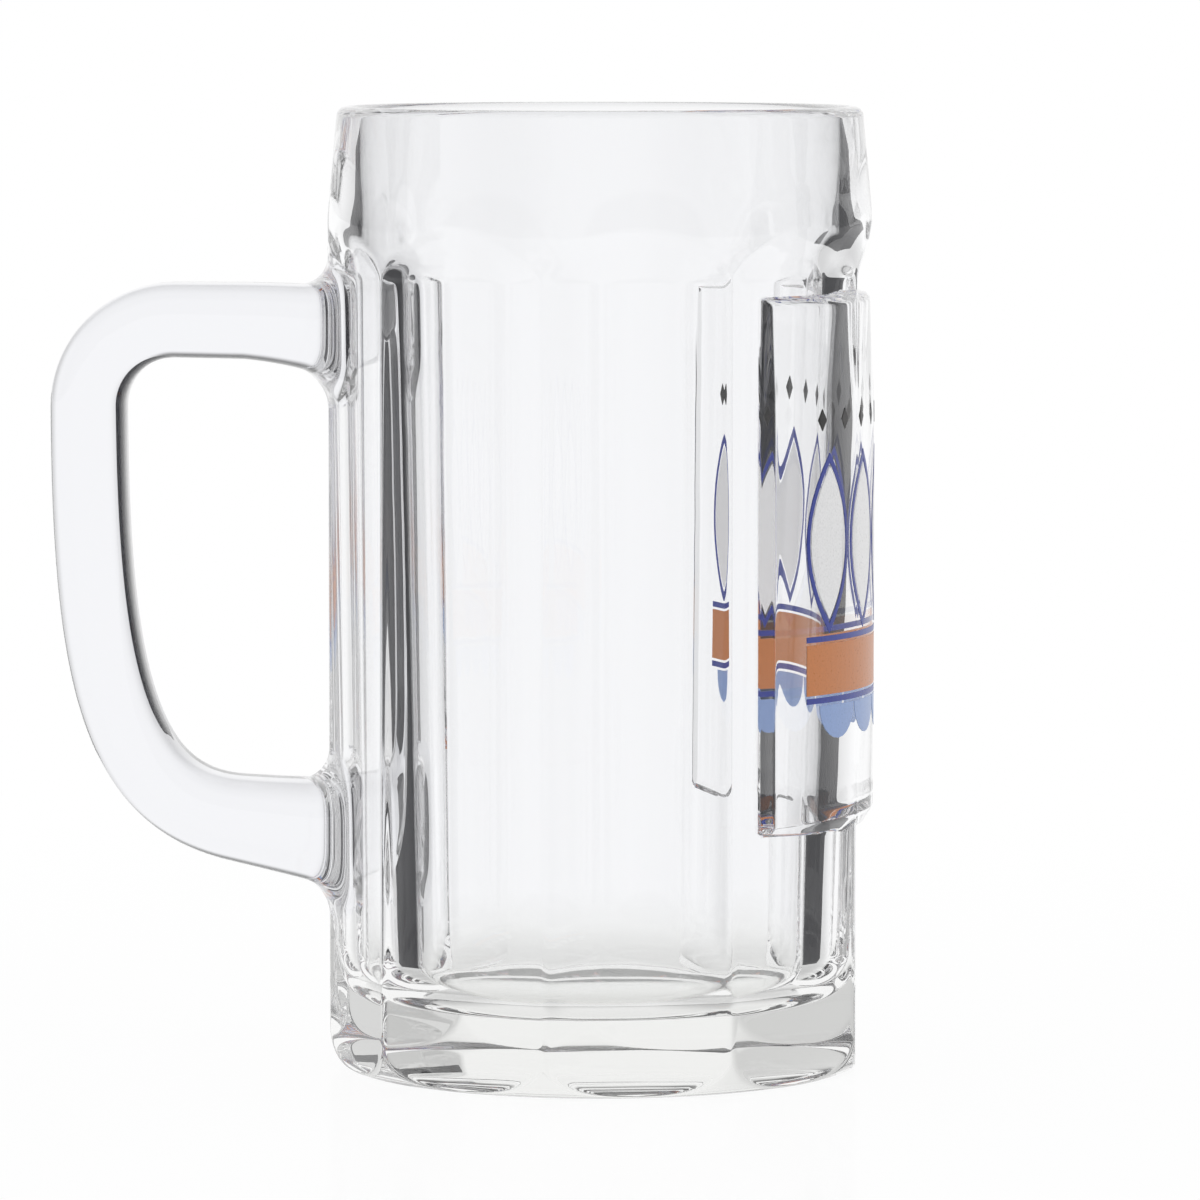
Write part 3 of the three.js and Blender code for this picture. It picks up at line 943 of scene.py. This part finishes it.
class MUG_OT_studio(Operator):
    """Set up the white studio, its dark screens, its floor and the camera"""

    bl_idname = "mug.studio"
    bl_label = "Studio"

    def execute(self, context):
        stage = context.scene.mug.stage
        context.scene.view_settings.view_transform = "Standard"
        context.scene.cycles.max_bounces = stage.light_bounces
        context.scene.cycles.transmission_bounces = stage.light_bounces
        context.scene.cycles.glossy_bounces = stage.light_bounces
        self.camera(context, stage)
        self.world(context, stage)
        self.floor(stage)
        cloth = self.dark_cloth(stage)
        for side in ("left", "right"):
            self.screen(side, cloth, stage)
        return {"FINISHED"}

    def camera(self, context, stage):
        """A long lens that looks down a little on the mug from above its rim."""
        data = bpy.data.cameras.new("photo_camera")
        data.sensor_width = SENSOR_WIDTH
        data.lens = stage.focal_length
        data.clip_start = CLIP_START
        data.clip_end = CLIP_END
        camera = bpy.data.objects.new("photo_camera", data)
        turn = stage.camera_turn
        camera.location = (
            AXIS_X + stage.camera_distance * math.sin(turn),
            -stage.camera_distance * math.cos(turn),
            stage.camera_height,
        )
        camera.rotation_euler = (math.pi / 2 - stage.camera_pitch, 0, turn)
        context.scene.collection.objects.link(camera)
        context.scene.camera = camera

    def seen_directly(self, tree):
        """1 for rays that show the background: from the camera, by reflection or through glass."""
        path = add_node(tree, "ShaderNodeLightPath")
        outside = combined(tree, "MAXIMUM", path.outputs["Is Camera Ray"], path.outputs["Is Glossy Ray"])
        return combined(tree, "MAXIMUM", outside, path.outputs["Is Transmission Ray"])

    def room_brightness(self, tree, stage):
        """Brightness of the room where glass shows it: white behind the mug, darker in other directions."""
        place = add_node(tree, "ShaderNodeTexCoord")
        direction = add_node(tree, "ShaderNodeSeparateXYZ")
        aside = add_node(tree, "ShaderNodeMath", operation="ABSOLUTE")
        tree.links.new(place.outputs["Generated"], direction.inputs["Vector"])
        tree.links.new(direction.outputs["X"], aside.inputs[0])
        upward, backward, sideways = direction.outputs["Z"], direction.outputs["Y"], aside.outputs[0]
        brightness = smooth_range(tree, upward, *CEILING_FALL, 1.0, stage.ceiling)
        for part, fall, darkest in (
            (upward, UNDER_FALL, stage.under),
            (backward, FRONT_FALL, stage.front),
            (sideways, SIDES_FALL, stage.sides),
        ):
            share = smooth_range(tree, part, *fall, 1.0, darkest)
            brightness = combined(tree, "MULTIPLY", brightness, share)
        return brightness

    def world(self, context, stage):
        """Plain white for the camera, a graded room for the glass and even light for matt surfaces."""
        world = bpy.data.worlds.new("white_studio")
        world.use_nodes = True
        context.scene.world = world
        tree = world.node_tree
        light = tree.nodes["Background"]
        path = add_node(tree, "ShaderNodeLightPath")
        seen = add_node(tree, "ShaderNodeMix", data_type="FLOAT")
        strength = add_node(tree, "ShaderNodeMix", data_type="FLOAT")
        set_inputs(light, {"Color": stage.white})
        set_inputs(seen, {"B": 1.0})
        set_inputs(strength, {"A": stage.room_light})
        tree.links.new(path.outputs["Is Camera Ray"], seen.inputs["Factor"])
        tree.links.new(self.room_brightness(tree, stage), seen.inputs["A"])
        tree.links.new(self.seen_directly(tree), strength.inputs["Factor"])
        tree.links.new(seen.outputs["Result"], strength.inputs["B"])
        tree.links.new(strength.outputs["Result"], light.inputs["Strength"])

    def dark_cloth(self, stage):
        """Matt dark cloth."""
        material, shader = new_material("dark_cloth")
        set_inputs(shader, {"Base Color": stage.screen_colour, "Roughness": 1.0})
        return material

    def screen(self, side, material, stage):
        """A dark screen around the mug's far side that only the glass shows.

        Its inner edge leans from the foot's bearing to the head's, and its outer edge has one bearing.
        """
        edges = ("foot", "head", "end", "top")
        foot, head, end, top = (getattr(stage, f"{side}_screen_{edge}") for edge in edges)
        screen = flat_grid(f"{side}_screen", SCREEN_STEPS, 1)
        outward, upward = grid_shares(screen)
        inner = foot + upward * (head - foot)
        bearing = inner + outward * (end - inner) - stage.camera_turn
        x = AXIS_X + stage.screen_distance * np.sin(bearing)
        y = stage.screen_distance * np.cos(bearing)
        z = stage.screen_bottom + upward * (top - stage.screen_bottom)
        move_points(screen, np.stack([x, y, z], 1))
        screen.data.materials.append(material)
        for ray in ("camera", "diffuse", "glossy", "shadow"):
            setattr(screen, f"visible_{ray}", False)

    def floor(self, stage):
        """The floor, which the glass doesn't show."""
        floor = flat_grid("studio_floor", STUDIO_FLOOR_STEPS, STUDIO_FLOOR_STEPS, STUDIO_FLOOR_SIDE)
        floor.data.materials.append(self.floor_material(stage))
        floor.visible_transmission = False

    def floor_material(self, stage):
        """Pale floor with a faint gloss, which fades to white away from the mug."""
        material, shader = new_material("studio_floor")
        tree = material.node_tree
        set_inputs(shader, {
            "Base Color": stage.floor_colour,
            "Roughness": stage.floor_roughness,
            "Specular IOR Level": stage.floor_gloss,
        })
        place = add_node(tree, "ShaderNodeTexCoord")
        away = add_node(tree, "ShaderNodeVectorMath", operation="LENGTH")
        white = add_node(tree, "ShaderNodeEmission")
        blend = add_node(tree, "ShaderNodeMixShader")
        set_inputs(white, {"Color": stage.white})
        tree.links.new(place.outputs["Object"], away.inputs[0])
        fade_range = (stage.floor_fade_start, stage.floor_fade_end)
        fade = smooth_range(tree, away.outputs["Value"], *fade_range, stage.floor_white)
        share = combined(tree, "MULTIPLY", fade, self.seen_directly(tree))
        tree.links.new(share, blend.inputs["Fac"])
        tree.links.new(shader.outputs["BSDF"], blend.inputs[1])
        tree.links.new(white.outputs["Emission"], blend.inputs[2])
        tree.links.new(blend.outputs["Shader"], tree.nodes["Material Output"].inputs["Surface"])
        return material


class MUG_PT_workshop(Panel):
    """Sidebar panel with the mug's operators and settings"""

    bl_idname = "MUG_PT_workshop"
    bl_label = "Beer Mug"
    bl_space_type = "VIEW_3D"
    bl_region_type = "UI"
    bl_category = "Beer Mug"

    def draw(self, context):
        layout = self.layout
        for operator in OPERATORS:
            layout.operator(operator.bl_idname)
        mug = context.scene.mug
        for group in (mug.body, mug.label, mug.handle, mug.glass, mug.ink, mug.stage):
            box = layout.box()
            for name in group.__annotations__:
                box.prop(group, name)


SETTINGS = (
    GlassBodySettings, LabelFieldSettings, HandleSettings, GlassLookSettings, PrintLookSettings,
    StageSettings, MugSettings,
)
OPERATORS = (MUG_OT_glass_handle, MUG_OT_glass_body, MUG_OT_fired_print, MUG_OT_studio)


def register():
    for cls in (*SETTINGS, *OPERATORS, MUG_PT_workshop):
        bpy.utils.register_class(cls)
    bpy.types.Scene.mug = PointerProperty(type=MugSettings)


def unregister():
    del bpy.types.Scene.mug
    for cls in reversed((*SETTINGS, *OPERATORS, MUG_PT_workshop)):
        bpy.utils.unregister_class(cls)


def main():
    register()
    bpy.ops.mug.glass_handle()
    bpy.ops.mug.glass_body()
    bpy.ops.mug.fired_print()
    bpy.ops.mug.studio()


if __name__ == "__main__":
    main()
